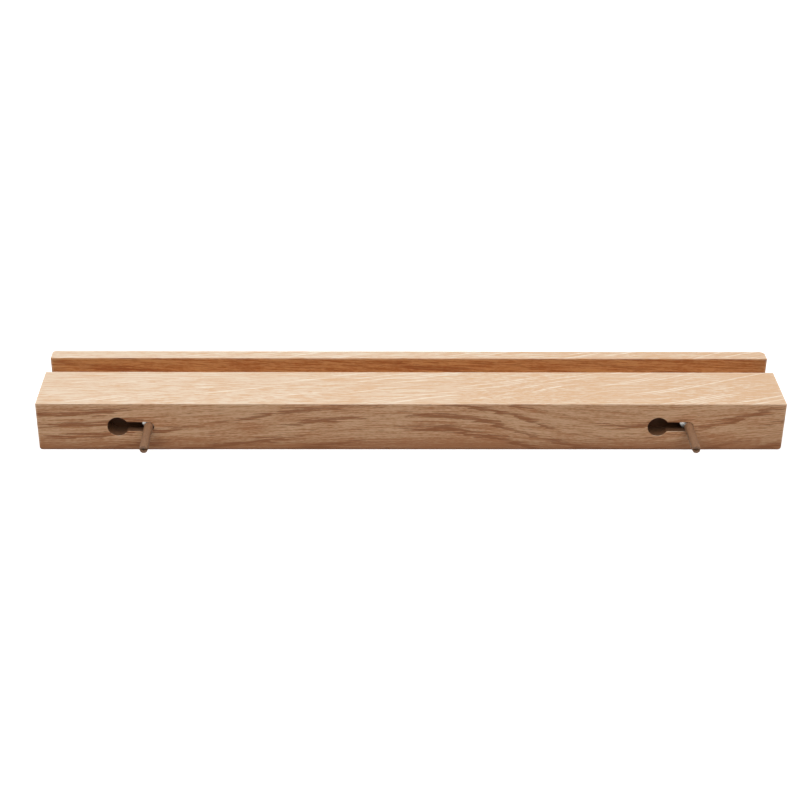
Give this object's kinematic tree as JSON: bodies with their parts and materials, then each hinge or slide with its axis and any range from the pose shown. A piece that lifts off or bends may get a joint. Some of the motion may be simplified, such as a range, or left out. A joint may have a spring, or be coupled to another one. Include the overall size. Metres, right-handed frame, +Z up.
{
  "type": "bicycle wall rack",
  "caption": "Solid oak wall rail with a groove and a thin front lip along its top, hung on headed wall screws by sideways keyholes in its back face.",
  "frame": {"origin": "on the wall, at the middle of the oak rail's back face", "axes": "+X along the rail, to the right as seen from the room; +Y out of the rail's back, into the wall; +Z up"},
  "size_m": [0.5, 0.105, 0.0356],
  "materials": {
    "oak": "fine sanded and oiled, matt",
    "zinc_plated_steel": "bright zinc plate",
    "nylon": "moulded, satin, brown"
  },
  "bodies": {
    "wall_fixings": {"wall_plug_left": "nylon", "wall_plug_right": "nylon", "wall_screw_left": "zinc_plated_steel", "wall_screw_right": "zinc_plated_steel"},
    "rail": {"rail": "oak"}
  },
  "joints": [
    {"name": "keyhole_slide", "type": "slide", "parent": "wall_fixings", "child": "rail", "axis": [-1, 0, 0], "range_m": [0, 0.0205]}
  ]
}
